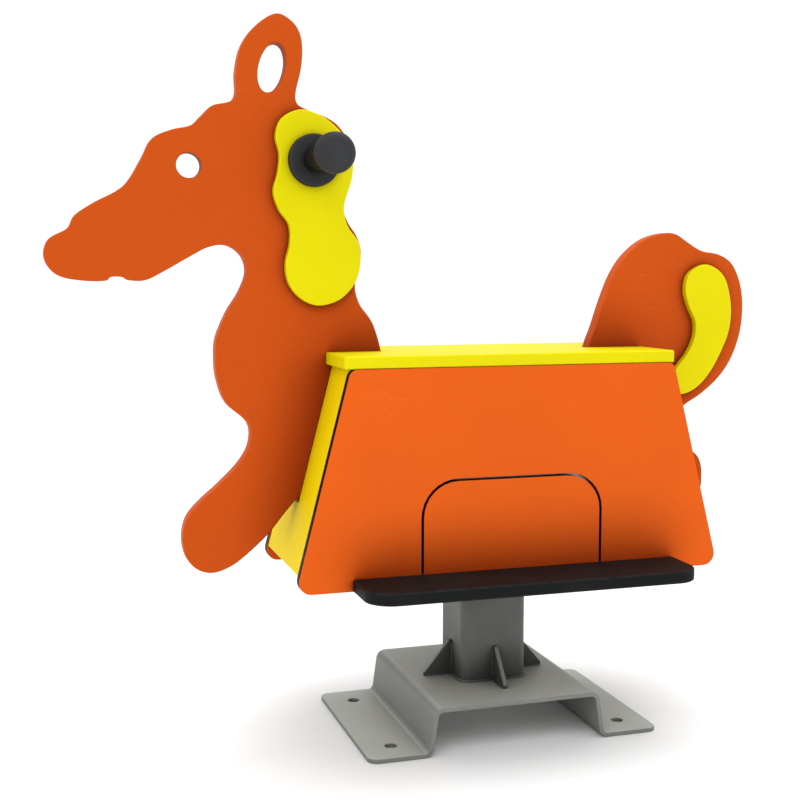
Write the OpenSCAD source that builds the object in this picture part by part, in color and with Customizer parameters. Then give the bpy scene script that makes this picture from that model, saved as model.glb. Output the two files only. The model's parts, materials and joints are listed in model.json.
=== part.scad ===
// Single-seat playground rocker: an animal-shaped body on a rubber torsion unit, post and ground plate.
// X runs from head (-) to tail (+), Y from the near side (-) to the far side (+), Z is up.
// The origin is on the ground, at the centre of the four anchor bolts.

/* [Ground plate and post] */
// Length of the ground plate, head to tail
plate_l = 350; // [330:1:420]
// Width of the ground plate
plate_w = 232; // [200:1:300]
// Height of the raised middle of the ground plate
plate_h = 55; // [46:1:70]
// Thickness of the ground plate
plate_t = 5; // [4:0.5:7]
// Distance between anchor bolts along X
anchor_dx = 280; // [270:1:300]
// Distance between anchor bolts along Y
anchor_dy = 160; // [120:1:170]
// Diameter of the anchor bolt holes
anchor_d = 14; // [10:1:18]
// Width of the square post
post_w = 80; // [70:1:90]
// Outer corner radius of the post
post_r = 10; // [6:1:12]
// Wall of the post
post_wall = 5; // [3:0.5:6]
// Length of a gusset's foot
gusset_l = 35; // [25:1:40]
// Height of a gusset
gusset_h = 41; // [30:1:60]

/* [Rocking unit] */
// Height of the rocking axis above the ground
pivot_z = 255; // [250:1:262]
// Outer width of the square housing
housing_w = 90; // [86:1:92]
// Wall of the housing
housing_wall = 6; // [4:0.5:7]
// Length of the housing, across the body
housing_l = 136; // [130:1:138]
// Side of the inner square shaft
shaft_w = 50; // [46:1:50]

/* [Body] */
// Offset of the body's middle towards the tail
body_x = 5; // [0:1:8]
// Height of the side panels' lower edge
body_z = 188; // [184:1:192]
// Height of the seat's underside
body_top = 430; // [420:1:440]
// Half the length of a side panel at its lower edge
body_half = 256; // [250:1:262]
// Lean of the sloping ends, in degrees from the vertical
body_lean = 14.5; // [12:0.5:16]
// Outer width of the body
body_w = 189; // [185:1:195]
// Thickness of the side panels
side_t = 12; // [10:1:13]
// Thickness of the end panels
end_t = 15; // [12:1:18]
// Height of the end panels' lower edge
end_z = 206; // [200:1:215]

/* [Arch covers] */
// Width of an arch cover
arch_w = 212; // [200:1:220]
// Height of an arch cover's top edge
arch_top = 304; // [296:1:308]
// Corner radius of an arch cover
arch_r = 40; // [30:1:50]
// Gap round an arch cover
arch_gap = 3; // [2:0.5:4]

/* [Seat and footboards] */
// Length of the seat board
seat_l = 395; // [385:1:400]
// Width of the seat board
seat_w = 188; // [184:1:195]
// Thickness of the seat board
seat_t = 14; // [12:1:18]
// Length of a footboard
foot_l = 388; // [370:1:400]
// Width of a footboard
foot_w = 74; // [50:1:80]
// Thickness of a footboard
foot_t = 14; // [12:1:18]

/* [Animal panels and grips] */
// Thickness of the head and tail panels
core_t = 18; // [15:1:18]
// Thickness of the mane and tail plates
deco_t = 10; // [8:1:12]
// Diameter of the eye hole
eye_d = 27; // [22:1:30]
// Distance of the grips in front of the origin
grip_x = 210; // [207:1:213]
// Height of the grips
grip_z = 656; // [652:1:660]
// Diameter of a grip's handle
grip_d = 26; // [25:1:32]
// Diameter of the rounded end of a grip
knob_d = 43; // [38:1:46]
// Length of a grip
grip_l = 100; // [85:1:110]
// Diameter of a grip's flange
flange_d = 58; // [52:1:60]

/* [Hidden] */
$fn = 48;

near = -1;
far = 1;
clear = 0.05;              // radial clearance of a pin or screw in its hole
cut = 1;                   // how far a cutting tool runs past a face

orange = [0.93, 0.38, 0.12];
deep_orange = [0.83, 0.33, 0.10];
yellow = [0.93, 0.88, 0.08];
charcoal = [0.20, 0.20, 0.21];
black = [0.12, 0.13, 0.13];
zinc = [0.58, 0.59, 0.57];
grey = [0.36, 0.36, 0.35];
bright = [0.72, 0.73, 0.75];

// Ground plate and post
plate_bend = 11;           // outer radius of the plate's bends
plate_corner = 12;
web_foot = 106;            // where the plate's sloping webs meet the flanges
web_crest = 99;            // where the webs meet the raised middle
web_lean = (web_foot - web_crest) / (plate_h - plate_t);
web_shift = plate_t * sqrt(1 + web_lean * web_lean);
gusset_t = 5;
gusset_tip = 4;            // blunt end of a gusset
cradle_t = 8;
cradle_z = pivot_z - housing_w / 2 - cradle_t;
cradle_half = [84, 62];
strap_t = 5;
strap_w = 36;
strap_y = 42;              // middle of a strap, from the middle of the housing
strap_foot = 32;           // how far a strap's foot stands out
strap_bolt_r = 6;
strap_bolt_x = housing_w / 2 + strap_t + 18;

// Rocking unit
housing_in = housing_w / 2 - housing_wall;
cord_r = (housing_in * sqrt(2) - shaft_w / 2) / (1 + sqrt(2));
cord_at = housing_in - cord_r;
cord_l = housing_l - 8;
side_in = body_w / 2 - side_t;            // inner face of a side panel
shaft_plate_t = 8;
shaft_half = side_in - 1;
shaft_bolt_r = 8;
shaft_washer = [26, 2.5];                 // radius and thickness
shaft_bolt_head = [12, 4];
pocket = [29, 7.5];                       // relief in the arch cover over the shaft bolt
shaft_plate_half = 135;
shaft_plate_low = 200;
shaft_plate_high = 332;
rim_screws = [[-122, 216], [-122, 262], [-118, 306], [-60, 320], [60, 320], [118, 306], [122, 262], [122, 216]];
cover_screws = [[-90, 214], [-90, 268], [90, 214], [90, 268]];
screw_r = 4;
screw_bite = 9;                           // length of a screw inside a board
screw_head = [7, 4.5];                    // radius and height
sunk_head = [7, 3];                       // the same for a countersunk screw

// Body
body_end_inset = 1;
side_foot_r = 14;
side_shoulder_r = 10;
arch_cut = arch_w / 2 + arch_gap;
core_gap = 0.3;                           // room round a centre panel in its slots
core_slot = core_t / 2 + core_gap;
front_slot_z = 274;
rear_slot_z = 240;
angle_leg = 30;
angle_t = 3;
angle_z = [225, 350];
angle_screw_z = [240, 290, 335];
rail_l = 250;
rail_leg = 25;
rail_screw_x = [-100, 0, 100];
seat_screw_x = [-80, 20, 120];
seat_x = 2.5;
seat_corner = 4;
neck_seat_x = -129;                       // where the neck leaves the seat's front slot
tail_seat_x = 128;
tie_r = 10;
tie_seat = 6;                             // depth of a tie's pocket in a side panel
spacer_r = 13;
ties = [[-150, 395], [-150, 312], [155, 395], [155, 300]];

// Footboards
foot_z = body_z;                           // their underside is level with the side panels' edge
foot_x = 6.5;                             // middle of a footboard's length
foot_corner = 30;
bracket_x = 160;
bracket_w = 34;
bracket_t = 5;
bracket_high = 236;
bracket_reach = 32;                       // how far a bracket runs under the footboard
bracket_screw_z = [208, 226];
bracket_screw_y = [7, 23];

// Grips
flange_t = 9;
rod_r = 6;
rod_half = core_t / 2 + deco_t + flange_t + 70;
insert_r = 9.5;
insert_l = 45;
grip_flare = [34, 19];                    // where the grip starts and stops widening, from its end
grip_nose = 12;                           // radius of the grip's rounded end
dowel_r = 5;
dowel_bite = 7;                           // depth of a dowel in a mane or tail plate
mane_dowels = [[-205, 535], [-200, 585]];
tail_dowels = [[290, 500], [268, 415]];

// Outlines as [x, z], clockwise from the top of the ear; smooth() draws a curve through them
head_points = [
    [-249, 814], [-232, 808], [-222, 795], [-219, 777], [-221, 755], [-227, 730], [-225, 718], [-213, 712],
    [-191, 704], [-177, 694], [-167, 677], [-163, 645], [-168, 624], [-173, 605], [-168, 589], [-158, 574],
    [-153, 556], [-156, 538], [-160, 520], [-159, 509], [-154, 496], [-144, 483], [-138, 472], [-131, 449],
    [-129, 425], [-128, 340], [-136, 304], [-165, 289],
    [-205, 287], [-227, 279], [-243, 263], [-264, 238], [-293, 213], [-310, 203], [-327, 199], [-343, 204], [-355, 218], [-359, 240],
    [-354, 262], [-340, 279], [-317, 299], [-295, 321], [-283, 342], [-284, 366], [-308, 389], [-318, 416],
    [-320, 440], [-318, 462], [-306, 490], [-292, 512], [-284, 534], [-289, 552], [-305, 563], [-325, 561],
    [-345, 551], [-375, 534], [-394, 525], [-411, 525], [-418, 528.5], [-430, 528.5], [-436, 524.5],
    [-458, 524.5], [-482, 529], [-495, 540], [-499, 554], [-493, 569], [-474, 580], [-466, 594], [-445, 608],
    [-424, 619], [-410, 631], [-395, 656], [-384, 676], [-363, 686], [-343, 691], [-331, 702], [-319, 713],
    [-300, 718], [-293, 728], [-293, 750], [-287, 777], [-272, 799]
];
tail_points = [
    [128, 425], [131, 447], [139, 468], [150, 500], [163, 531], [180, 555], [203, 573], [228, 581], [246, 580],
    [263, 570], [282, 560], [305, 556], [323, 546], [334, 528], [340, 506], [341, 480], [337, 454], [326, 426],
    [309, 403], [286, 384], [264, 371], [246, 358], [239, 340], [249, 324], [268, 316], [282, 306], [288, 293],
    [289, 277], [287, 263], [275, 251], [240, 246], [170, 244], [136, 262], [128, 310]
];
mane_points = [
    [-225, 711], [-205, 707], [-188, 697], [-173, 681], [-165, 660], [-166, 637], [-175, 607], [-171, 585],
    [-159, 568], [-156, 548], [-161, 525], [-174, 508], [-190, 499], [-209, 497], [-227, 506], [-239, 522],
    [-242, 543], [-237, 566], [-238, 586], [-249, 602], [-255, 622], [-250, 642], [-248, 662], [-252, 682],
    [-245, 701]
];
tail_plate_points = [
    [279, 543], [296, 539], [309, 527], [316, 508], [319, 485], [316, 460], [306, 436], [292, 412], [275, 394],
    [256, 385], [241, 388], [237, 402], [246, 418], [260, 435], [269, 455], [269, 474], [260, 493], [255, 513],
    [260, 532]
];

// One point of a Catmull-Rom curve between b and c
function blend(a, b, c, d, t) =
    0.5 * (2 * b + (c - a) * t + (2 * a - 5 * b + 4 * c - d) * t * t + (3 * b - a - 3 * c + d) * t * t * t);

// A closed smooth curve through the points
function smooth(p, steps = 5) = [
    for (i = [0 : len(p) - 1], s = [0 : steps - 1])
        let (n = len(p))
        blend(p[(i + n - 1) % n], p[i], p[(i + 1) % n], p[(i + 2) % n], s / steps)
];

function unit(v) = v / norm(v);

// The arc that rounds the corner b between a and c
function corner_arc(a, b, c, r, steps = 8) =
    let (
        u = unit(a - b),
        w = unit(c - b),
        half = acos(u * w) / 2,
        mid = b + unit(u + w) * r / sin(half),
        from = b + u * r / tan(half) - mid,
        to = b + w * r / tan(half) - mid,
        start = atan2(from.y, from.x),
        turn = (atan2(to.y, to.x) - start + 540) % 360 - 180
    )
    [for (i = [0 : steps]) mid + r * [cos(start + turn * i / steps), sin(start + turn * i / steps)]];

// A polygon from [x, y, corner radius] points
function rounded(p) = [
    for (i = [0 : len(p) - 1])
        let (n = len(p), a = p[(i + n - 1) % n], b = p[i], c = p[(i + 1) % n])
        each b.z == 0 ? [[b.x, b.y]] : corner_arc([a.x, a.y], [b.x, b.y], [c.x, c.y], b.z)
];

function box_outline(half_x, half_y, r) =
    rounded([[-half_x, -half_y, r], [half_x, -half_y, r], [half_x, half_y, r], [-half_x, half_y, r]]);

// An ellipse with half axes a and b, turned clockwise by tilt
function ellipse(at, a, b, tilt) = [
    for (t = [0 : 10 : 350])
        let (p = [a * cos(t), b * sin(t)])
        at + [p.x * cos(tilt) + p.y * sin(tilt), p.y * cos(tilt) - p.x * sin(tilt)]
];

// Distance of the body's sloping end from the body's middle, at height z and depth d inside the end
function end_at(z, d) = body_half - (z - body_z) * tan(body_lean) - d / cos(body_lean);

// A board in the XZ plane, from y to y + t
module board(y, t) {
    translate([0, y + t, 0]) rotate([90, 0, 0]) linear_extrude(t) children();
}

// A board on one side of the middle plane, from depth y to y + t
module side_board(side, y, t) {
    board(side * (y + t / 2) - t / 2, t) children();
}

// A round bar along Y
module bar(x, z, y, l, r) {
    translate([x, y, z]) rotate([-90, 0, 0]) cylinder(h = l, r = r);
}

// A round bar that runs outwards from depth y on one side
module side_bar(side, x, z, y, l, r) {
    translate([x, side * y, z]) rotate([-90 * side, 0, 0]) cylinder(h = l, r = r);
}

// A screw driven outwards into a side panel, its head on the inside at depth y
module side_screw(side, x, z, y, grip) {
    side_bar(side, x, z, y - screw_head[1], screw_head[1], screw_head[0]);
    side_bar(side, x, z, y - clear, grip + screw_bite, screw_r);
}

// The strip between depths d1 and d2 inside the front end, for heights z1 to z2
module end_strip(d1, d2, z1, z2) {
    polygon([
        [body_x - end_at(z1, d1), z1], [body_x - end_at(z2, d1), z2],
        [body_x - end_at(z2, d2), z2], [body_x - end_at(z1, d2), z1]
    ]);
}

// Turns front-end children into rear-end ones
module to_rear() {
    translate([2 * body_x, 0, 0]) mirror([1, 0, 0]) children();
}

module ground_plate() {
    half = plate_l / 2;
    crest_in = web_crest - web_shift + web_lean * plate_t;
    foot_in = web_foot - web_shift + web_lean * plate_t;
    bend_in = plate_bend - plate_t;
    side = [
        [half, plate_t, 0], [half, 0, 0], [foot_in, 0, plate_bend], [crest_in, plate_h - plate_t, bend_in]
    ];
    top = [[-web_foot, plate_t, bend_in], [-web_crest, plate_h, plate_bend],
           [web_crest, plate_h, plate_bend], [web_foot, plate_t, bend_in]];
    left = [for (i = [len(side) - 1 : -1 : 0]) [-side[i].x, side[i].y, side[i].z]];
    color(zinc) difference() {
        intersection() {
            board(-plate_w / 2, plate_w) polygon(rounded(concat(top, side, left)));
            linear_extrude(plate_h + cut) polygon(box_outline(half, plate_w / 2, plate_corner));
        }
        for (x = [-1, 1], y = [-1, 1])
            translate([x * anchor_dx / 2, y * anchor_dy / 2, -cut]) cylinder(h = plate_t + 2 * cut, d = anchor_d);
    }
}

module post() {
    color(grey) translate([0, 0, plate_h]) linear_extrude(cradle_z - plate_h) difference() {
        polygon(box_outline(post_w / 2, post_w / 2, post_r));
        polygon(box_outline(post_w / 2 - post_wall, post_w / 2 - post_wall, post_r - post_wall));
    }
}

// A gusset that stands out along the direction turn, in degrees from the tail side
module gusset(turn) {
    color(grey) rotate([0, 0, turn]) translate([post_w / 2, 0, plate_h]) board(-gusset_t / 2, gusset_t)
        polygon([[0, 0], [gusset_l, 0], [gusset_l, gusset_tip], [gusset_tip, gusset_h], [0, gusset_h]]);
}

module cradle_plate() {
    color(grey) translate([0, 0, cradle_z]) difference() {
        linear_extrude(cradle_t) polygon(box_outline(cradle_half.x, cradle_half.y, 10));
        for (x = [-1, 1], y = [-1, 1])
            translate([x * strap_bolt_x, y * strap_y, -cut]) cylinder(h = cradle_t + 2 * cut, r = strap_bolt_r + clear);
    }
}

module housing_straps() {
    inside = housing_w / 2;
    outside = inside + strap_t;
    foot = cradle_z + cradle_t;
    top = pivot_z + housing_w / 2;
    color(grey) for (y = [-1, 1]) difference() {
        board(y * strap_y - strap_w / 2, strap_w) polygon(rounded([
            [-outside - strap_foot, foot, 0], [-inside, foot, 0], [-inside, top, 0],
            [inside, top, 0], [inside, foot, 0], [outside + strap_foot, foot, 0],
            [outside + strap_foot, foot + strap_t, 0], [outside, foot + strap_t, 3], [outside, top + strap_t, 6],
            [-outside, top + strap_t, 6], [-outside, foot + strap_t, 3], [-outside - strap_foot, foot + strap_t, 0]
        ]));
        for (x = [-1, 1])
            translate([x * strap_bolt_x, y * strap_y, foot - cut])
                cylinder(h = strap_t + 2 * cut, r = strap_bolt_r + clear);
    }
}

module strap_bolts() {
    stack = cradle_t + strap_t;
    color(bright) for (x = [-1, 1], y = [-1, 1])
        translate([x * strap_bolt_x, y * strap_y, cradle_z]) {
            translate([0, 0, -clear]) cylinder(h = stack + 2 * clear, r = strap_bolt_r);
            translate([0, 0, stack]) cylinder(h = 7.5, r = 10, $fn = 6);
            translate([0, 0, -10]) cylinder(h = 10, r = 10, $fn = 6);
            translate([0, 0, -15]) cylinder(h = 5, r = strap_bolt_r);
        }
}

module torsion_housing() {
    color(grey) translate([0, 0, pivot_z]) board(-housing_l / 2, housing_l) difference() {
        polygon(box_outline(housing_w / 2, housing_w / 2, 6));
        square(2 * housing_in, center = true);
    }
}

module rubber_cord(x, z) {
    color(black) bar(x * cord_at, pivot_z + z * cord_at, -cord_l / 2, cord_l, cord_r - clear);
}

module torsion_shaft() {
    color(bright) difference() {
        translate([0, 0, pivot_z]) board(-shaft_half, 2 * shaft_half) rotate(45) square(shaft_w, center = true);
        for (side = [near, far])
            side_bar(side, 0, pivot_z, shaft_half - 40, 40 + cut, shaft_bolt_r + clear);
    }
}

// The plate that carries the shaft's end and joins it to a side panel and its arch cover
module shaft_plate(side) {
    y = side_in - shaft_plate_t;
    half = shaft_plate_half;
    color(grey) difference() {
        side_board(side, y, shaft_plate_t) difference() {
            polygon(rounded([
                [-half, shaft_plate_low, 15], [half, shaft_plate_low, 15],
                [half, shaft_plate_high, 25], [-half, shaft_plate_high, 25]
            ]));
            translate([0, pivot_z]) rotate(45) square(shaft_w + 4 * clear, center = true);
        }
        for (p = concat(rim_screws, cover_screws))
            side_bar(side, p.x, p.y, y - cut, shaft_plate_t + 2 * cut, screw_r + clear);
    }
}

module shaft_bolts() {
    color(bright) for (side = [near, far]) {
        side_bar(side, 0, pivot_z, shaft_half - 35, 35 + clear, shaft_bolt_r);
        side_bar(side, 0, pivot_z, side_in, shaft_washer[1], shaft_washer[0]);
        side_bar(side, 0, pivot_z, shaft_half, side_in - shaft_half + cut, shaft_bolt_r);
        side_bar(side, 0, pivot_z, side_in + shaft_washer[1] - clear, shaft_bolt_head[1], shaft_bolt_head[0]);
    }
}

module plate_screws() {
    color(bright) for (side = [near, far], p = concat(rim_screws, cover_screws))
        side_screw(side, p.x, p.y, side_in - shaft_plate_t, shaft_plate_t);
}

module side_outline() {
    polygon(rounded([
        [body_x - end_at(body_z, 0), body_z, side_foot_r],
        [-arch_cut, body_z, 0], [-arch_cut, arch_top + arch_gap, arch_r + arch_gap],
        [arch_cut, arch_top + arch_gap, arch_r + arch_gap], [arch_cut, body_z, 0],
        [body_x + end_at(body_z, 0), body_z, side_foot_r],
        [body_x + end_at(body_top, 0), body_top, side_shoulder_r],
        [body_x - end_at(body_top, 0), body_top, side_shoulder_r]
    ]));
}

// Blind holes that run outwards into a side panel from its inner face
module side_holes(side, points, r, depth) {
    for (p = points) side_bar(side, p.x, p.y, side_in - cut, depth + cut, r);
}

module side_panel(side) {
    color(orange) difference() {
        side_board(side, side_in, side_t) side_outline();
        side_holes(side, rim_screws, screw_r + clear, screw_bite + clear);
        side_holes(side, ties, tie_r + clear, tie_seat + clear);
        side_holes(side, concat(angle_screw_points(), rail_screw_points(), bracket_screw_points()),
                   screw_r + clear, screw_bite + clear);
    }
}

module arch_cover(side) {
    half = arch_w / 2;
    color(orange) difference() {
        side_board(side, side_in, side_t) polygon(rounded([
            [-half, body_z, 0], [half, body_z, 0], [half, arch_top, arch_r], [-half, arch_top, arch_r]
        ]));
        side_bar(side, 0, pivot_z, side_in - cut, pocket[1] + cut, pocket[0]);
        side_holes(side, cover_screws, screw_r + clear, screw_bite + clear);
    }
}

module end_panel(slot_z) {
    half = side_in - 0.1;
    color(yellow) difference() {
        board(-half, 2 * half) end_strip(body_end_inset, body_end_inset + end_t, end_z, body_top);
        translate([-body_half - cut, -core_slot, slot_z]) cube([body_half, 2 * core_slot, body_top]);
        for (side = [near, far], z = angle_screw_z)
            at_end(side * (side_in - angle_leg / 2), z)
                translate([0, 0, -cut]) cylinder(h = screw_bite + cut + clear, r = screw_r + clear);
    }
}

function angle_screw_points() = [
    for (s = [-1, 1], z = angle_screw_z)
        [body_x + s * end_at(z, body_end_inset + end_t + angle_t + angle_leg / 2), z]
];
function rail_screw_points() = [for (x = rail_screw_x) [x, body_top - rail_leg / 2]];
function bracket_screw_points() = [
    for (x = [-1, 1], z = bracket_screw_z) [body_x + x * bracket_x, z]
];

// Places children on the inner face of the front end panel, pointing into the panel
module at_end(y, z) {
    translate([body_x - end_at(z, body_end_inset + end_t), y, z]) rotate([0, body_lean - 90, 0]) children();
}

module corner_angle(side) {
    d = body_end_inset + end_t;
    difference() {
        union() {
            side_board(side, side_in - angle_t, angle_t) end_strip(d, d + angle_leg, angle_z[0], angle_z[1]);
            side_board(side, side_in - angle_leg, angle_leg) end_strip(d, d + angle_t, angle_z[0], angle_z[1]);
        }
        for (z = angle_screw_z) {
            side_bar(side, body_x - end_at(z, d + angle_t + angle_leg / 2), z, side_in - angle_t - cut,
                     angle_t + 2 * cut, screw_r + clear);
            at_end(side * (side_in - angle_leg / 2), z)
                translate([0, 0, -angle_t - cut]) cylinder(h = angle_t + 2 * cut, r = screw_r + clear);
        }
    }
}

module corner_angles() {
    color(bright) for (side = [near, far]) {
        corner_angle(side);
        to_rear() corner_angle(side);
    }
}

module angle_screw_set(side) {
    d = body_end_inset + end_t + angle_t;
    for (z = angle_screw_z) {
        side_screw(side, body_x - end_at(z, d + angle_leg / 2), z, side_in - angle_t, angle_t);
        at_end(side * (side_in - angle_leg / 2), z) {
            translate([0, 0, -angle_t - screw_head[1]]) cylinder(h = screw_head[1], r = screw_head[0]);
            translate([0, 0, -angle_t - clear]) cylinder(h = angle_t + screw_bite, r = screw_r);
        }
    }
}

module angle_screws() {
    color(bright) for (side = [near, far]) {
        angle_screw_set(side);
        to_rear() angle_screw_set(side);
    }
}

module seat_board() {
    color(yellow) difference() {
        translate([seat_x, 0, body_top]) linear_extrude(seat_t)
            polygon(box_outline(seat_l / 2, seat_w / 2, seat_corner));
        translate([-body_half, -core_slot, body_top - cut])
            cube([body_half + neck_seat_x + core_gap, 2 * core_slot, seat_t + 2 * cut]);
        translate([tail_seat_x - core_gap, -core_slot, body_top - cut])
            cube([body_half, 2 * core_slot, seat_t + 2 * cut]);
        for (side = [near, far], x = seat_screw_x)
            translate([x, side * (side_in - rail_leg / 2), body_top - cut])
                cylinder(h = screw_bite + cut + clear, r = screw_r + clear);
    }
}

module seat_rail(side) {
    color(bright) difference() {
        translate([body_x - rail_l / 2, 0, body_top]) rotate([90, 0, 90]) linear_extrude(rail_l)
            polygon([
                [side * side_in, 0], [side * side_in, -rail_leg], [side * (side_in - angle_t), -rail_leg],
                [side * (side_in - angle_t), -angle_t], [side * (side_in - rail_leg), -angle_t],
                [side * (side_in - rail_leg), 0]
            ]);
        for (p = rail_screw_points())
            side_bar(side, p.x, p.y, side_in - angle_t - cut, angle_t + 2 * cut, screw_r + clear);
        for (x = seat_screw_x)
            translate([x, side * (side_in - rail_leg / 2), body_top - angle_t - cut])
                cylinder(h = angle_t + 2 * cut, r = screw_r + clear);
    }
}

module seat_screws() {
    color(bright) for (side = [near, far]) {
        for (p = rail_screw_points()) side_screw(side, p.x, p.y, side_in - angle_t, angle_t);
        for (x = seat_screw_x) translate([x, side * (side_in - rail_leg / 2), body_top - angle_t]) {
            translate([0, 0, -screw_head[1]]) cylinder(h = screw_head[1], r = screw_head[0]);
            translate([0, 0, -clear]) cylinder(h = angle_t + screw_bite, r = screw_r);
        }
    }
}

// A tube that ties the side panels together through a centre panel
module tie(p) {
    half = side_in + tie_seat;
    color(bright) difference() {
        bar(p.x, p.y, -half, 2 * half, tie_r);
        bar(p.x, p.y, -half - cut, 2 * half + 2 * cut, tie_r - 3);
    }
}

module tie_spacers() {
    color(charcoal) for (side = [near, far], p = ties)
        difference() {
            side_bar(side, p.x, p.y, core_t / 2, side_in - core_t / 2, spacer_r);
            side_bar(side, p.x, p.y, core_t / 2 - cut, side_in - core_t / 2 + 2 * cut, tie_r + clear);
        }
}

// Round holes right through a centre panel
module core_holes(points, r) {
    for (p = points) bar(p.x, p.y, -core_t, 2 * core_t, r);
}

module head_panel() {
    color(deep_orange) difference() {
        board(-core_t / 2, core_t) difference() {
            polygon(smooth(head_points));
            polygon(ellipse([-253.5, 756], 14.5, 27.5, 15));
        }
        core_holes([[-345.5, 648.5]], eye_d / 2);
        core_holes([[-grip_x, grip_z]], rod_r + clear);
        core_holes([ties[0], ties[1]], tie_r + clear);
        core_holes(mane_dowels, dowel_r + clear);
    }
}

module tail_panel() {
    color(deep_orange) difference() {
        board(-core_t / 2, core_t) polygon(smooth(tail_points));
        core_holes([ties[2], ties[3]], tie_r + clear);
        core_holes(tail_dowels, dowel_r + clear);
    }
}

// A thin plate on one face of a centre panel, with blind dowel holes
module deco_plate(side, dowels) {
    difference() {
        side_board(side, core_t / 2, deco_t) children();
        for (p = dowels)
            side_bar(side, p.x, p.y, core_t / 2 - cut, dowel_bite + cut + clear, dowel_r + clear);
    }
}

module mane_plate(side) {
    color(yellow) difference() {
        deco_plate(side, mane_dowels) polygon(smooth(mane_points));
        side_bar(side, -grip_x, grip_z, 0, core_t + deco_t, rod_r + clear);
    }
}

module tail_plate(side) {
    color(yellow) deco_plate(side, tail_dowels) polygon(smooth(tail_plate_points));
}

module plate_dowels() {
    half = core_t / 2 + dowel_bite;
    color(bright) for (p = concat(mane_dowels, tail_dowels)) bar(p.x, p.y, -half, 2 * half, dowel_r);
}

module handlebar_rod() {
    color(bright) bar(-grip_x, grip_z, -rod_half, 2 * rod_half, rod_r);
}

// Turns a profile of [radius, depth] round the grips' axis, on one side
module grip_turned(side) {
    translate([-grip_x, 0, grip_z]) rotate([-90 * side, 0, 0]) rotate_extrude() children();
}

module grip_flange(side) {
    y = core_t / 2 + deco_t;
    r = flange_d / 2;
    color(charcoal) grip_turned(side) polygon(rounded([
        [rod_r + clear, y, 0], [r, y, 0], [r, y + flange_t, 3], [rod_r + clear, y + flange_t, 0]
    ]));
}

module grip(side) {
    y = core_t / 2 + deco_t + flange_t;
    end = y + grip_l;
    color(charcoal) grip_turned(side) polygon(rounded([
        [insert_r + clear, y, 0], [grip_d / 2, y, 0], [grip_d / 2, end - grip_flare[0], 20],
        [knob_d / 2, end - grip_flare[1], 12], [knob_d / 2, end, grip_nose], [0, end, 0],
        [0, rod_half + 1, 0], [rod_r + clear, rod_half + 1, 0],
        [rod_r + clear, y + insert_l + clear, 0], [insert_r + clear, y + insert_l + clear, 0]
    ]));
}

// The threaded sleeve moulded into a grip
module grip_insert(side) {
    y = core_t / 2 + deco_t + flange_t;
    color(bright) grip_turned(side)
        translate([rod_r + clear, y]) square([insert_r - rod_r - clear, insert_l]);
}

module footboard(side) {
    outer = body_w / 2 + foot_w;
    half = foot_l / 2;
    color(black) difference() {
        translate([foot_x, 0, foot_z]) linear_extrude(foot_t) polygon(rounded([
            [-half, side * body_w / 2, 0], [half, side * body_w / 2, 0],
            [half, side * outer, foot_corner], [-half, side * outer, foot_corner]
        ]));
        for (x = [-1, 1], y = bracket_screw_y)
            translate([body_x + x * bracket_x, side * (body_w / 2 + y), foot_z - cut])
                cylinder(h = screw_bite + cut + clear, r = screw_r + clear);
    }
}

module footboard_bracket(side) {
    for (x = [-1, 1]) difference() {
        translate([body_x + x * bracket_x - bracket_w / 2, 0, 0]) rotate([90, 0, 90]) linear_extrude(bracket_w)
            polygon([
                [side * side_in, foot_z], [side * (body_w / 2 + bracket_reach), foot_z],
                [side * (body_w / 2 + bracket_reach), foot_z - bracket_t],
                [side * (side_in - bracket_t), foot_z - bracket_t],
                [side * (side_in - bracket_t), bracket_high], [side * side_in, bracket_high]
            ]);
        for (z = bracket_screw_z)
            side_bar(side, body_x + x * bracket_x, z, side_in - bracket_t - cut, bracket_t + 2 * cut, screw_r + clear);
        for (y = bracket_screw_y)
            translate([body_x + x * bracket_x, side * (body_w / 2 + y), foot_z - bracket_t - cut])
                cylinder(h = bracket_t + 2 * cut, r = screw_r + clear);
        for (y = bracket_screw_y)
            translate([body_x + x * bracket_x, side * (body_w / 2 + y), foot_z - bracket_t - cut])
                cylinder(h = cut + sunk_head[1], r1 = sunk_head[0] + cut + clear, r2 = screw_r + clear);
    }
}

module footboard_brackets() {
    color(grey) for (side = [near, far]) footboard_bracket(side);
}

module footboard_screws() {
    color(bright) for (side = [near, far], x = [-1, 1]) {
        for (z = bracket_screw_z) side_screw(side, body_x + x * bracket_x, z, side_in - bracket_t, bracket_t);
        for (y = bracket_screw_y)
            translate([body_x + x * bracket_x, side * (body_w / 2 + y), foot_z - bracket_t]) {
                cylinder(h = sunk_head[1], r1 = sunk_head[0], r2 = screw_r);
                cylinder(h = bracket_t + screw_bite, r = screw_r);
            }
    }
}

ground_plate();
post();
gusset(180);  // gusset_head_side
gusset(0);  // gusset_tail_side
gusset(-90);  // gusset_near
gusset(90);  // gusset_far
cradle_plate();
housing_straps();
strap_bolts();
torsion_housing();
rubber_cord(-1, 1);  // rubber_cord_upper_head
rubber_cord(1, 1);  // rubber_cord_upper_tail
rubber_cord(-1, -1);  // rubber_cord_lower_head
rubber_cord(1, -1);  // rubber_cord_lower_tail
torsion_shaft();
shaft_plate(near);  // near_shaft_plate
shaft_plate(far);  // far_shaft_plate
shaft_bolts();
plate_screws();
side_panel(near);  // near_side_panel
side_panel(far);  // far_side_panel
arch_cover(near);  // near_arch_cover
arch_cover(far);  // far_arch_cover
end_panel(front_slot_z);  // front_end_panel
to_rear() end_panel(rear_slot_z);  // rear_end_panel
corner_angles();
angle_screws();
seat_board();
seat_rail(near);  // near_seat_rail
seat_rail(far);  // far_seat_rail
seat_screws();
tie(ties[0]);  // front_upper_tie
tie(ties[1]);  // front_lower_tie
tie(ties[2]);  // rear_upper_tie
tie(ties[3]);  // rear_lower_tie
tie_spacers();
head_panel();
tail_panel();
mane_plate(near);  // near_mane_plate
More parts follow.
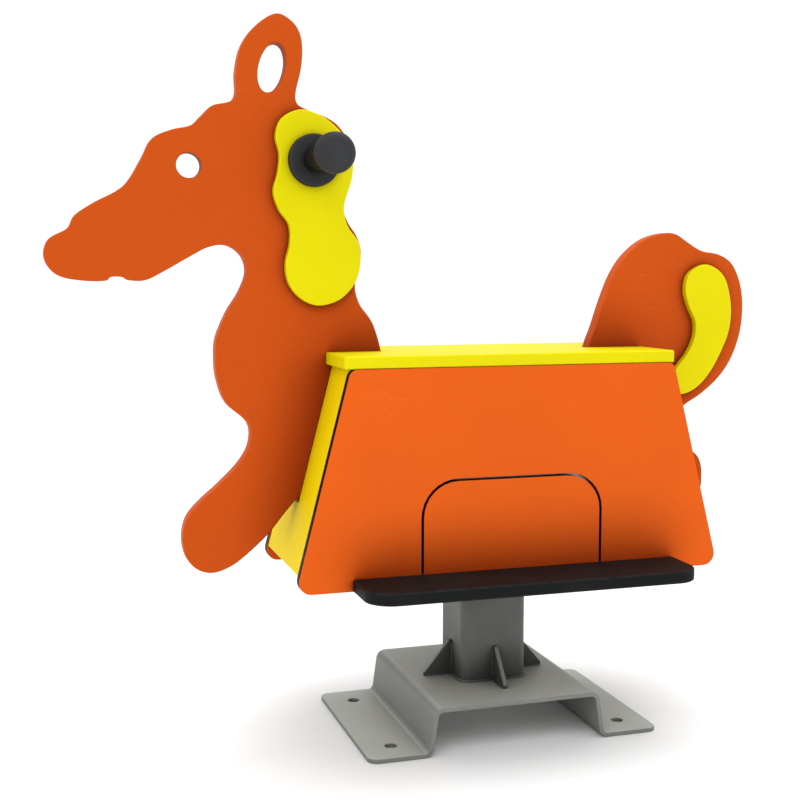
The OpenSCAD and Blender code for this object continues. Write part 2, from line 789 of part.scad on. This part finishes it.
mane_plate(far);  // far_mane_plate
tail_plate(near);  // near_tail_plate
tail_plate(far);  // far_tail_plate
plate_dowels();
handlebar_rod();
grip_flange(near);  // near_grip_flange
grip_flange(far);  // far_grip_flange
grip(near);  // near_grip
grip(far);  // far_grip
grip_insert(near);  // near_grip_insert
grip_insert(far);  // far_grip_insert
footboard(near);  // near_footboard
footboard(far);  // far_footboard
footboard_brackets();
footboard_screws();
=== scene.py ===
import json
import math

import bmesh
import bpy
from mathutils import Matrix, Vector


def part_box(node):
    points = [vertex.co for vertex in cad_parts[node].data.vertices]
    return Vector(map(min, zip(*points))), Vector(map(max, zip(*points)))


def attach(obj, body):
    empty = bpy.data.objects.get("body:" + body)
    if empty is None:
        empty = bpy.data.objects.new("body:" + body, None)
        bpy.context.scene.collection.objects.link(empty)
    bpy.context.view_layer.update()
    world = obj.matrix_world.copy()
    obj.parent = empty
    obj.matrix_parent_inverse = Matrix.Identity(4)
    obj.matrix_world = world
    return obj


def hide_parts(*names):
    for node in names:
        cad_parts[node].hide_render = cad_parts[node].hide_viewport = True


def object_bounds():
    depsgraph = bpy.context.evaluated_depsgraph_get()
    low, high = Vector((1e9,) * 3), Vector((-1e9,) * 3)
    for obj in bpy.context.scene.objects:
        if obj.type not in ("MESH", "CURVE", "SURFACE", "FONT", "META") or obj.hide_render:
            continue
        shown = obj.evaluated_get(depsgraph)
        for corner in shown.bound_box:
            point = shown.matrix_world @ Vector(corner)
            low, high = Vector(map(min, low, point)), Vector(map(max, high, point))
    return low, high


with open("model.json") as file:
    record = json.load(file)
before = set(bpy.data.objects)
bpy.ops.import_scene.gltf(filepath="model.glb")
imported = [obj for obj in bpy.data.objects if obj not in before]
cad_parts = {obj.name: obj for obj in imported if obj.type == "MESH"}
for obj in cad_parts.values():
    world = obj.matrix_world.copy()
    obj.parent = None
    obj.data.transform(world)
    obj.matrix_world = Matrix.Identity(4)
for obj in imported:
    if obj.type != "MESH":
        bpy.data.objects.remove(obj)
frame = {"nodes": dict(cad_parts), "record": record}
NODES = frame["nodes"]
CAD_BOX = [list(corner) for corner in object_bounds()]
MM = 0.001

BODY_OF = {
    node: body
    for body, nodes in frame["record"]["behaviour"]["bodies"].items()
    for node in nodes
}
SLOT_OF = {part["node"]: part["material_slot"] for part in frame["record"]["subparts"]}


# ---------------------------------------------------------------- materials

# Noise rarely leaves this band, so it is read between these two values.
NOISE_BAND = (0.3, 0.7)
# Socket numbers of a colour Mix node.
MIX_A = 6
MIX_B = 7
MIX_RESULT = 2
# How open a spot is, from 0 to 1, where the painted shade in corners is full and where it ends.
FULL_SHADE = 0.4
NO_SHADE = 0.95
OCCLUSION_SAMPLES = 12
# How far the painted shadow on a grip's neck takes to come and to go along the grip.
FADE_IN = 2 * MM
FADE_OUT = 22 * MM
# The face layer that marks rounded edges.
EDGE_LAYER = "edge"

ORANGE = (0.71, 0.106, 0.008)
DEEP_ORANGE = (0.54, 0.076, 0.006)
YELLOW = (0.70, 0.63, 0.002)
# A copy of the yellow boards' colour, brighter and redder, for the end panels alone: painted light and
# shade for how the end panels are lit.
END_YELLOW_AS_LIT = (0.83, 0.65, 0.002)
CORE_BLACK = (0.006, 0.0035, 0.0025)
DUST = (0.42, 0.40, 0.36)
SHOE_GREY = (0.03, 0.029, 0.028)
WORN_BLACK = (0.035, 0.035, 0.036)


class Surface:
    """A node material under construction: a Principled shader and the noise that feeds it."""

    def __init__(self, name, specular, metallic=0.0):
        self.mat = bpy.data.materials.new(name)
        self.mat.use_nodes = True
        self.tree = self.mat.node_tree
        self.shader = self.tree.nodes["Principled BSDF"]
        self.shader.inputs["Metallic"].default_value = metallic
        self.shader.inputs["Specular IOR Level"].default_value = specular
        self.coord = self.node("ShaderNodeTexCoord").outputs["Object"]

    def node(self, kind, **settings):
        n = self.tree.nodes.new(kind)
        for key, value in settings.items():
            setattr(n, key, value)
        return n

    def link(self, a, b):
        self.tree.links.new(a, b)

    def noise(self, scale, detail=2.0, stretch=None, turn=None, rough=0.5):
        """Noise with scale features a metre; stretch scales the axes, turn rotates them in degrees."""
        where = self.coord
        if stretch or turn:
            m = self.node("ShaderNodeMapping")
            self.link(where, m.inputs["Vector"])
            if stretch:
                m.inputs["Scale"].default_value = stretch
            if turn:
                m.inputs["Rotation"].default_value = [math.radians(a) for a in turn]
            where = m.outputs["Vector"]
        n = self.node("ShaderNodeTexNoise")
        n.inputs["Scale"].default_value = scale
        n.inputs["Detail"].default_value = detail
        n.inputs["Roughness"].default_value = rough
        self.link(where, n.inputs["Vector"])
        return n.outputs["Fac"]

    def span(self, value, low, high, to_low=0.0, to_high=1.0):
        """value, read between low and high, carried to to_low and to_high."""
        m = self.node("ShaderNodeMapRange")
        self.link(value, m.inputs["Value"])
        limits = {"From Min": low, "From Max": high, "To Min": to_low, "To Max": to_high}
        for key, number in limits.items():
            m.inputs[key].default_value = number
        return m.outputs["Result"]

    def math(self, operation, a, b=0.0):
        m = self.node("ShaderNodeMath", operation=operation)
        for slot, value in zip(m.inputs, (a, b)):
            if isinstance(value, (int, float)):
                slot.default_value = value
            else:
                self.link(value, slot)
        return m.outputs["Value"]

    def mix(self, factor, a, b):
        """Colour a where factor is 0 and b where it is 1."""
        m = self.node("ShaderNodeMix", data_type="RGBA")
        self.link(factor, m.inputs["Factor"])
        for slot, value in ((m.inputs[MIX_A], a), (m.inputs[MIX_B], b)):
            if isinstance(value, tuple):
                slot.default_value = (*value, 1)
            else:
                self.link(value, slot)
        return m.outputs[MIX_RESULT]

    def edges(self):
        """1 on the rounded edges, 0 elsewhere."""
        return self.node("ShaderNodeAttribute", attribute_name=EDGE_LAYER).outputs["Fac"]

    def edge_wear_and_highlight(self, scale, low, high, least, most):
        """Wear along the rounded edges, patchy between least and most; 0 off them. Boards paint it
        brighter, partly as a painted highlight.
        """
        edges = self.edges()
        return self.math("MULTIPLY", edges, self.span(self.noise(scale, 3), low, high, least, most))

    def corners(self, reach):
        """1 deep in a corner, 0 in the open, read from ambient occlusion: the mask for painted shade
        in corners.
        """
        ao = self.node("ShaderNodeAmbientOcclusion", samples=OCCLUSION_SAMPLES)
        ao.inputs["Distance"].default_value = reach
        return self.span(ao.outputs["AO"], FULL_SHADE, NO_SHADE, 1.0, 0.0)

    def depth_from_middle(self):
        """Distance from the plane through head and tail."""
        parts = self.node("ShaderNodeSeparateXYZ")
        self.link(self.coord, parts.inputs[0])
        return self.math("ABSOLUTE", parts.outputs["Y"])

    def facing_up(self, low, high):
        """1 on faces whose normal's upward part is past high, 0 below low."""
        normal = self.node("ShaderNodeSeparateXYZ")
        self.link(self.node("ShaderNodeNewGeometry").outputs["True Normal"], normal.inputs[0])
        return self.span(normal.outputs["Z"], low, high)

    def colour(self, out):
        self.link(out, self.shader.inputs["Base Color"])

    def roughness(self, out):
        self.link(out, self.shader.inputs["Roughness"])

    def bump(self, height, depth, strength):
        b = self.node("ShaderNodeBump")
        b.inputs["Distance"].default_value = depth
        b.inputs["Strength"].default_value = strength
        self.link(height, b.inputs["Height"])
        self.link(b.outputs["Normal"], self.shader.inputs["Normal"])


def shade(colour, k):
    """The colour made k times as bright."""
    return tuple(min(c * k, 1.0) for c in colour)


def board(name, colour, marks=0.3, reach=0.085, corner_shade=0.95):
    """Playground board: even colour, a fine pebbled face, faint scuffs, patchy brighter edges that are
    partly wear and partly a painted highlight, and painted shade in the corners.
    """
    s = Surface(name, specular=0.05)
    mottle = s.noise(7, 3)
    pebble = s.noise(850, 2)
    base = s.mix(s.span(mottle, *NOISE_BAND), shade(colour, 0.965), shade(colour, 1.03))
    grain = s.span(pebble, 0.35, 0.65)
    base = s.mix(s.math("MULTIPLY", grain, 0.06), base, shade(colour, 0.8))
    patches = s.span(s.noise(5, 2), 0.5, 0.66)
    lines = s.span(s.noise(55, 4, stretch=(1, 1, 14), turn=(0, 32, 0), rough=0.65), 0.66, 0.7)
    more = s.span(s.noise(60, 4, stretch=(1, 1, 17), turn=(0, -58, 0), rough=0.65), 0.67, 0.71)
    scuff = s.math("MULTIPLY", s.math("MAXIMUM", lines, more), patches)
    pale = tuple(c + (1 - c) * 0.28 for c in colour)
    base = s.mix(s.math("MULTIPLY", scuff, marks), base, pale)
    # Rounded edges painted brighter in patches: partly edge wear, partly a painted highlight where the
    # edges catch more light.
    base = s.mix(s.edge_wear_and_highlight(140, 0.42, 0.62, 0.03, 0.2), base, shade(colour, 1.3))
    # Painted shade: the colour is darkened towards a deep red-brown in corners and next to other
    # parts.
    dark = (colour[0] * 0.30, colour[1] * 0.18, colour[2] * 0.18)
    s.colour(s.mix(s.math("MULTIPLY", s.corners(reach), corner_shade), base, dark))
    even = s.span(mottle, *NOISE_BAND, 0.45, 0.55)
    s.roughness(s.math("ADD", even, s.math("MULTIPLY", scuff, 0.12)))
    s.bump(s.math("SUBTRACT", pebble, s.math("MULTIPLY", scuff, 0.3)), 0.09 * MM, 0.55)
    return s.mat


def board_core(name, colour):
    """The sawn edge of a laminated board: dark, with fine marks across its thickness."""
    s = Surface(name, specular=0.08)
    saw = s.noise(30, 3, stretch=(28, 1, 28), rough=0.6)
    cloud = s.noise(25, 2)
    s.colour(s.mix(s.span(cloud, 0.35, 0.65), shade(colour, 0.7), shade(colour, 1.5)))
    s.roughness(s.span(saw, *NOISE_BAND, 0.42, 0.66))
    s.bump(saw, 0.08 * MM, 0.6)
    return s.mat


def coated_steel(name, colour, painted_top_light, flat, reach, corner_shade):
    """Powder-coated steel: orange-peel skin, worn edges, painted shade in corners, and a paler colour
    painted on as top light where it faces up, from the first to the second value of flat."""
    s = Surface(name, specular=0.25)
    peel = s.noise(420, 2)
    fine = s.noise(1800, 1)
    cloud = s.noise(9, 4)
    base = s.mix(s.span(cloud, 0.32, 0.68), shade(colour, 0.93), shade(colour, 1.06))
    speck = s.span(s.noise(700, 2), 0.66, 0.74)
    base = s.mix(s.math("MULTIPLY", speck, 0.35), base, shade(colour, 1.35))
    dust = s.math("MULTIPLY", s.span(s.noise(22, 4), 0.45, 0.75), 0.1)
    base = s.mix(dust, base, DUST)
    # Painted top light: faces that point up are painted paler, in place of the light that falls on
    # them.
    upward = s.facing_up(*flat)
    top_light_mask = s.math("MULTIPLY", upward, s.span(s.noise(30, 4), *NOISE_BAND, 0.9, 1.0))
    base = s.mix(top_light_mask, base, painted_top_light)
    base = s.mix(s.edge_wear_and_highlight(110, 0.4, 0.62, 0.1, 0.4), base, shade(colour, 1.45))
    # Painted shade: corners and faces next to other parts are painted darker.
    s.colour(s.mix(s.math("MULTIPLY", s.corners(reach), corner_shade), base, shade(colour, 0.25)))
    s.roughness(s.span(cloud, *NOISE_BAND, 0.44, 0.58))
    s.bump(s.math("ADD", peel, s.math("MULTIPLY", fine, 0.25)), 0.07 * MM, 0.6)
    return s.mat


def plated_steel(name, colour, rough=0.34, along=(1, 60, 60)):
    """Zinc-plated or drawn steel: fine lines along the bar and a cloudy sheen."""
    s = Surface(name, specular=0.5, metallic=0.85)
    line = s.noise(22, 4, stretch=along, rough=0.6)
    cloud = s.noise(40, 3)
    base = s.mix(s.span(cloud, *NOISE_BAND), shade(colour, 0.86), shade(colour, 1.08))
    # Painted highlight: the rounded edges are painted brighter than the faces.
    s.colour(s.mix(s.math("MULTIPLY", s.edges(), 0.3), base, shade(colour, 1.3)))
    s.roughness(s.span(line, *NOISE_BAND, rough - 0.08, rough + 0.1))
    s.bump(line, 0.03 * MM, 0.5)
    return s.mat


def moulded_rubber(name, colour, rough=0.62, neck_shadow=None):
    """Moulded rubber: matt and stippled, with painted shade in corners, and a painted shadow on
    the grip's neck between the two given distances from the middle."""
    s = Surface(name, specular=0.09)
    stipple = s.node("ShaderNodeTexVoronoi", feature="SMOOTH_F1")
    stipple.inputs["Scale"].default_value = 620
    stipple.inputs["Smoothness"].default_value = 0.6
    s.link(s.coord, stipple.inputs["Vector"])
    cloud = s.noise(35, 3)
    base = s.mix(s.span(cloud, 0.32, 0.68), shade(colour, 0.85), shade(colour, 1.2))
    dots = s.span(stipple.outputs["Distance"], 0.1, 0.6)
    base = s.mix(s.math("MULTIPLY", dots, 0.25), base, shade(colour, 0.6))
    # Painted shadow: the grip's neck is painted darker between the two distances, in place of the
    # knob's shadow.
    if neck_shadow:
        depth = s.depth_from_middle()
        start, end = neck_shadow
        past_start = s.span(depth, start, start + FADE_IN)
        before_end = s.span(depth, end, end + FADE_OUT, 1.0, 0.0)
        in_shadow = s.math("MULTIPLY", past_start, before_end)
        base = s.mix(s.math("MULTIPLY", in_shadow, 0.85), base, shade(colour, 0.12))
    # Painted shade: corners and spots close to other parts are painted darker.
    s.colour(s.mix(s.corners(0.05), base, shade(colour, 0.1)))
    s.roughness(s.span(cloud, *NOISE_BAND, rough - 0.1, rough + 0.08))
    s.bump(stipple.outputs["Distance"], 0.12 * MM, 0.5)
    return s.mat


def treaded_board(name, colour):
    """Black footboard: coarse anti-slip grain and a little grey worn into it."""
    s = Surface(name, specular=0.07)
    grain = s.node("ShaderNodeTexVoronoi", feature="F1")
    grain.inputs["Scale"].default_value = 330
    s.link(s.coord, grain.inputs["Vector"])
    cloud = s.noise(14, 4)
    base = s.mix(s.span(cloud, *NOISE_BAND), shade(colour, 0.8), shade(colour, 1.25))
    rub = s.math("MULTIPLY", s.span(s.noise(18, 5), 0.52, 0.72), 0.18)
    base = s.mix(rub, base, SHOE_GREY)
    s.colour(s.mix(s.edge_wear_and_highlight(120, 0.4, 0.65, 0.05, 0.35), base, WORN_BLACK))
    s.roughness(s.span(cloud, *NOISE_BAND, 0.5, 0.68))
    s.bump(grain.outputs["Distance"], 0.16 * MM, 0.5)
    return s.mat


def studio_floor(name):
    """Plain pale floor, almost white."""
    s = Surface(name, specular=0.1)
    soft = s.noise(3, 2)
    s.colour(s.mix(s.span(soft, *NOISE_BAND), (0.93, 0.93, 0.93), (0.95, 0.95, 0.95)))
    s.roughness(s.span(soft, *NOISE_BAND, 0.7, 0.8))
    s.bump(s.noise(120, 2), 0.05 * MM, 0.2)
    return s.mat


LOOKS = {
    "side_board": board("orange_board", ORANGE),
    "animal_board": board("deep_orange_board", DEEP_ORANGE),
    "yellow_board": board("yellow_board", YELLOW, marks=0.25, reach=0.03, corner_shade=0.35),
    "foot_board": treaded_board("black_board", (0.0075, 0.0085, 0.0085)),
    "plate_steel": coated_steel("grey_coating", (0.19, 0.195, 0.18), painted_top_light=(0.47, 0.475, 0.437),
                                flat=(0.75, 0.97), reach=0.03, corner_shade=0.35),
    # The post's coating is the plate's grey painted about 0.6 times as bright: painted shade for the
    # body above it.
    "post_steel": coated_steel("shaded_grey_coating", (0.116, 0.121, 0.113), painted_top_light=(0.21, 0.215, 0.20),
                               flat=(0.4, 0.62), reach=0.07, corner_shade=0.95),
    "bracket_steel": plated_steel("zinc_plate", (0.42, 0.43, 0.45)),
    "bolt_steel": plated_steel("zinc_bolts", (0.55, 0.56, 0.58), along=(20, 20, 20)),
    "bright_bar": plated_steel("drawn_bar", (0.6, 0.61, 0.63), rough=0.26, along=(60, 1, 60)),
    "cord_rubber": moulded_rubber("cord_rubber", (0.012, 0.012, 0.012)),
    "grip_rubber": moulded_rubber("grip_rubber", (0.037, 0.038, 0.040),
                                  neck_shadow=(28 * MM, 84 * MM)),
    "spacer_plastic": moulded_rubber("spacer_plastic", (0.02, 0.02, 0.022), rough=0.5),
}
# The end panels' board, in the lit copy of the yellow: painted light and shade.
END_BOARD_AS_LIT = board("end_board_as_lit", END_YELLOW_AS_LIT, marks=0.25, reach=0.03, corner_shade=0.25)
BLACK_CORE = board_core("board_core", CORE_BLACK)


# ---------------------------------------------------------------- pieces

# Corners nearer than this, in metres, are one corner, and faces within this angle are one face.
SAME_POINT = 2e-6
FLAT_ANGLE = math.radians(0.2)
CUT_TOLERANCE = 1e-7
# Edges sharper than this are rounded, in this many steps.
SHARP_ANGLE = math.radians(28)
ROUNDING_STEPS = 3
# The coloured skin of a laminated board, and the rounding of its edges.
SKIN = 0.45 * MM
SKIN_ROUNDING = 0.4 * MM


def welded(node):
    """The CAD node's mesh with joined corners and flat faces made whole."""
    bm = bmesh.new()
    bm.from_mesh(NODES[node].data)
    bmesh.ops.remove_doubles(bm, verts=bm.verts, dist=SAME_POINT)
    bmesh.ops.dissolve_limit(bm, angle_limit=FLAT_ANGLE, verts=bm.verts[:], edges=bm.edges[:])
    return bm


def round_edges(bm, width):
    """Rounds every sharp edge and marks the new faces in the edge layer."""
    layer = bm.faces.layers.float.new(EDGE_LAYER)
    sharp = [e for e in bm.edges if e.is_manifold and e.calc_face_angle(0) > SHARP_ANGLE]
    made = bmesh.ops.bevel(bm, geom=sharp, offset=width, segments=ROUNDING_STEPS, profile=0.5,
                           affect="EDGES", clamp_overlap=False, loop_slide=False)
    for f in made["faces"]:
        f[layer] = 1.0


def finished(bm, name, node, materials, replaced=True):
    """Turns bm into a piece on the node's body, with the given materials, and hides the node if
    replaced.
    """
    mesh = bpy.data.meshes.new(name)
    for f in bm.faces:
        f.smooth = True
    bm.to_mesh(mesh)
    bm.free()
    for m in materials:
        mesh.materials.append(m)
    piece = bpy.data.objects.new(name, mesh)
    bpy.context.scene.collection.objects.link(piece)
    even = piece.modifiers.new("even_shading", "WEIGHTED_NORMAL")
    even.keep_sharp = True
    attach(piece, BODY_OF[node])
    if replaced:
        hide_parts(node)


def skinned_panel(node, name):
    """A laminated board: coloured skins on both faces and a black core on the sawn edges."""
    bm = welded(node)
    low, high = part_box(node)
    core_low, core_high = low.y + SKIN, high.y - SKIN
    for y in (core_low, core_high):
        bmesh.ops.bisect_plane(bm, geom=bm.verts[:] + bm.edges[:] + bm.faces[:], dist=CUT_TOLERANCE,
                               plane_co=(0, y, 0), plane_no=(0, 1, 0))
    round_edges(bm, SKIN_ROUNDING)
    for f in bm.faces:
        f.material_index = int(core_low < f.calc_center_median().y < core_high)
    finished(bm, name, node, [LOOKS["side_board"], BLACK_CORE])


def plain_piece(node, width):
    """A node in one material, with its edges rounded by width."""
    bm = welded(node)
    round_edges(bm, width)
    look = END_BOARD_AS_LIT if node.endswith("end_panel") else LOOKS[SLOT_OF[node]]
    finished(bm, node + "_look", node, [look])


# The laminated boards and the names of their pieces.
PANEL_PIECES = {
    "near_side_panel": "near_side_panel_board", "far_side_panel": "far_side_panel_board",
    "near_arch_cover": "near_arch_cover_panel", "far_arch_cover": "far_arch_cover_panel",
}
for node, name in PANEL_PIECES.items():
    skinned_panel(node, name)

# How far each other node's edges are rounded, in millimetres.
ROUNDINGS = {
    "head_panel": 1.6, "tail_panel": 1.6, "near_mane_plate": 1.6, "far_mane_plate": 1.6,
    "near_tail_plate": 1.6, "far_tail_plate": 1.6, "seat_board": 2.0, "front_end_panel": 1.2,
    "rear_end_panel": 1.2, "near_footboard": 2.0, "far_footboard": 2.0,
    "ground_plate": 0.8, "post": 0.6, "cradle_plate": 0.8, "housing_straps": 0.6,
    "torsion_housing": 0.6,
    "gusset_head_side": 0.6, "gusset_tail_side": 0.6, "gusset_near": 0.6, "gusset_far": 0.6,
    "strap_bolts": 0.5, "shaft_bolts": 0.5, "torsion_shaft": 1.2,
    "near_shaft_plate": 0.5, "far_shaft_plate": 0.5, "corner_angles": 0.4,
    "near_seat_rail": 0.4, "far_seat_rail": 0.4, "footboard_brackets": 0.5,
    "rubber_cord_upper_head": 1.0, "rubber_cord_upper_tail": 1.0,
    "rubber_cord_lower_head": 1.0, "rubber_cord_lower_tail": 1.0,
    "front_upper_tie": 0.4, "front_lower_tie": 0.4, "rear_upper_tie": 0.4, "rear_lower_tie": 0.4,
    "tie_spacers": 0.6, "handlebar_rod": 0.5, "near_grip_insert": 0.3, "far_grip_insert": 0.3,
    "near_grip_flange": 0.8, "far_grip_flange": 0.8, "near_grip": 0.4, "far_grip": 0.4,
    "plate_dowels": 0.4, "plate_screws": 0.4, "angle_screws": 0.4, "seat_screws": 0.4,
    "footboard_screws": 0.4,
}
for node, width in ROUNDINGS.items():
    plain_piece(node, width * MM)


# ---------------------------------------------------------------- welds

# A bead's ripples, the share of its radius that swells, and the share left at an open end.
RIPPLE = 2.2 * MM
SPOTS_PER_RIPPLE = 4
BEAD_SIDES = 8
SWELL = 0.06
END_SHARE = 0.5
POST_BEAD = 3.0 * MM
GUSSET_BEAD = 2.0 * MM
# How far a gusset's beads stay from the post, its tip, the plate and its top.
OFF_POST = 3 * MM
OFF_TIP = 2 * MM
OFF_PLATE = 3 * MM
OFF_TOP = 4 * MM
POST_CORNER = 10 * MM
CORNER_STEPS = 6
GUSSETS = ("gusset_head_side", "gusset_tail_side", "gusset_near", "gusset_far")


def in_pairs(items, closed):
    """Each item with the next, and the last with the first if closed."""
    return list(zip(items, items[1:] + (items[:1] if closed else [])))


def weld_run(bm, path, radius, closed=False):
    """A bead along the path: a thin bar whose section swells and shrinks once a ripple."""
    spots = []
    for a, b in in_pairs(path, closed):
        n = max(2, round((b - a).length / (RIPPLE / SPOTS_PER_RIPPLE)))
        spots += [a.lerp(b, i / n) for i in range(n)]
    if not closed:
        spots.append(path[-1])
    turns = [math.tau * k / BEAD_SIDES for k in range(BEAD_SIDES)]
    rings = []
    for i, spot in enumerate(spots):
        before = spots[i - 1] if closed or i else spot
        after = spots[(i + 1) % len(spots)] if closed or i + 1 < len(spots) else spot
        along = (after - before).normalized()
        across = along.orthogonal().normalized()
        up = along.cross(across)
        at_end = not closed and i in (0, len(spots) - 1)
        swollen = 1 - SWELL + SWELL * math.cos(math.tau * i / SPOTS_PER_RIPPLE)
        r = radius * (END_SHARE if at_end else swollen)
        ring = [spot + r * (across * math.cos(t) + up * math.sin(t)) for t in turns]
        rings.append([bm.verts.new(place) for place in ring])
    for one, two in in_pairs(rings, closed):
        best = min(range(BEAD_SIDES), key=lambda k: (two[k].co - one[0].co).length)
        facing = two[best:] + two[:best]
        for k in range(BEAD_SIDES):
            following = (k + 1) % BEAD_SIDES
            bm.faces.new((one[k], one[following], facing[following], facing[k]))
    if not closed:
        bm.faces.new(rings[0])
        bm.faces.new(rings[-1])
    bmesh.ops.recalc_face_normals(bm, faces=bm.faces)


def post_outline(half, z):
    """The post's outline, a square with round corners, at height z."""
    reach = half - POST_CORNER
    points = []
    for quarter, (x, y) in enumerate(((1, 1), (-1, 1), (-1, -1), (1, -1))):
        for i in range(CORNER_STEPS + 1):
            turn = math.radians(90 * (quarter + i / CORNER_STEPS))
            points.append(Vector((x * reach + POST_CORNER * math.cos(turn),
                                  y * reach + POST_CORNER * math.sin(turn), z)))
    return points


def gusset_welds(bm, gusset):
    """Beads along a gusset's foot and along the post, on both of its faces."""
    low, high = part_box(gusset)
    middle = (low + high) / 2
    axis = 0 if abs(middle.x) > abs(middle.y) else 1
    sign = 1 if middle[axis] > 0 else -1
    inner, outer = sorted((low[axis], high[axis]), key=abs)
    thick = (high[1 - axis] - low[1 - axis]) / 2

    def spot(face, along, z):
        p = Vector((0, 0, z))
        p[axis], p[1 - axis] = along, face * thick
        return p

    for face in (-1, 1):
        foot = [spot(face, inner + sign * OFF_POST, low.z), spot(face, outer - sign * OFF_TIP, low.z)]
        side = [spot(face, inner, low.z + OFF_PLATE), spot(face, inner, high.z - OFF_TOP)]
        weld_run(bm, foot, GUSSET_BEAD)
        weld_run(bm, side, GUSSET_BEAD)


post_low, post_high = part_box("post")
welds = bmesh.new()
weld_run(welds, post_outline(post_high.x, post_low.z), POST_BEAD, closed=True)
for gusset in GUSSETS:
    gusset_welds(welds, gusset)
finished(welds, "post_welds", "post", [LOOKS["post_steel"]], replaced=False)


# ---------------------------------------------------------------- stage, light and camera

FLOOR_RADIUS = 40.0
FLOOR_SIDES = 96
# The floor lies just under the ground plate, so that their faces don't coincide.
FLOOR_GAP = 0.0002
SKY_STRENGTH = 1.1

floor_mesh = bpy.data.meshes.new("floor")
floor_bm = bmesh.new()
bmesh.ops.create_circle(floor_bm, cap_ends=True, radius=FLOOR_RADIUS, segments=FLOOR_SIDES)
floor_bm.to_mesh(floor_mesh)
floor_bm.free()
floor_mesh.materials.append(studio_floor("studio_floor"))
floor = bpy.data.objects.new("floor", floor_mesh)
floor.location.z = CAD_BOX[0][2] - FLOOR_GAP
bpy.context.scene.collection.objects.link(floor)

world = bpy.data.worlds.new("studio")
world.use_nodes = True
sky = world.node_tree.nodes["Background"]
sky.inputs["Color"].default_value = (1, 1, 1, 1)
sky.inputs["Strength"].default_value = SKY_STRENGTH
bpy.context.scene.world = world
bpy.context.scene.view_settings.view_transform = "Standard"


def soft_light(name, place, aim, size, power):
    """A round lamp of that size in metres and power in watts, turned to the point aim."""
    lamp = bpy.data.lights.new(name, "AREA")
    lamp.shape = "DISK"
    lamp.size = size
    lamp.energy = power
    holder = bpy.data.objects.new(name, lamp)
    holder.location = place
    holder.rotation_euler = (Vector(aim) - Vector(place)).to_track_quat("-Z", "Y").to_euler()
    bpy.context.scene.collection.objects.link(holder)


soft_light("key", (-1.6, -2.4, 3.2), (0, 0, 0.4), 2.2, 20)
soft_light("top", (0.6, 0.4, 3.6), (0, 0, 0.3), 2.6, 46)

# The photograph's camera: its place in metres, and its tilt down and turn in degrees.
CAMERA_PLACE = (-0.53719, -1.396085, 0.531983)
CAMERA_TILT = 5.696
CAMERA_TURN = -17.221
FOCAL_LENGTH = 56.946
SENSOR_WIDTH = 36
FAR_CLIP = 200

lens = bpy.data.cameras.new("camera")
lens.sensor_width = SENSOR_WIDTH
lens.lens = FOCAL_LENGTH
lens.clip_end = FAR_CLIP
camera = bpy.data.objects.new("camera", lens)
camera.location = CAMERA_PLACE
camera.rotation_euler = (math.radians(90 - CAMERA_TILT), 0, math.radians(CAMERA_TURN))
bpy.context.scene.collection.objects.link(camera)
bpy.context.scene.camera = camera
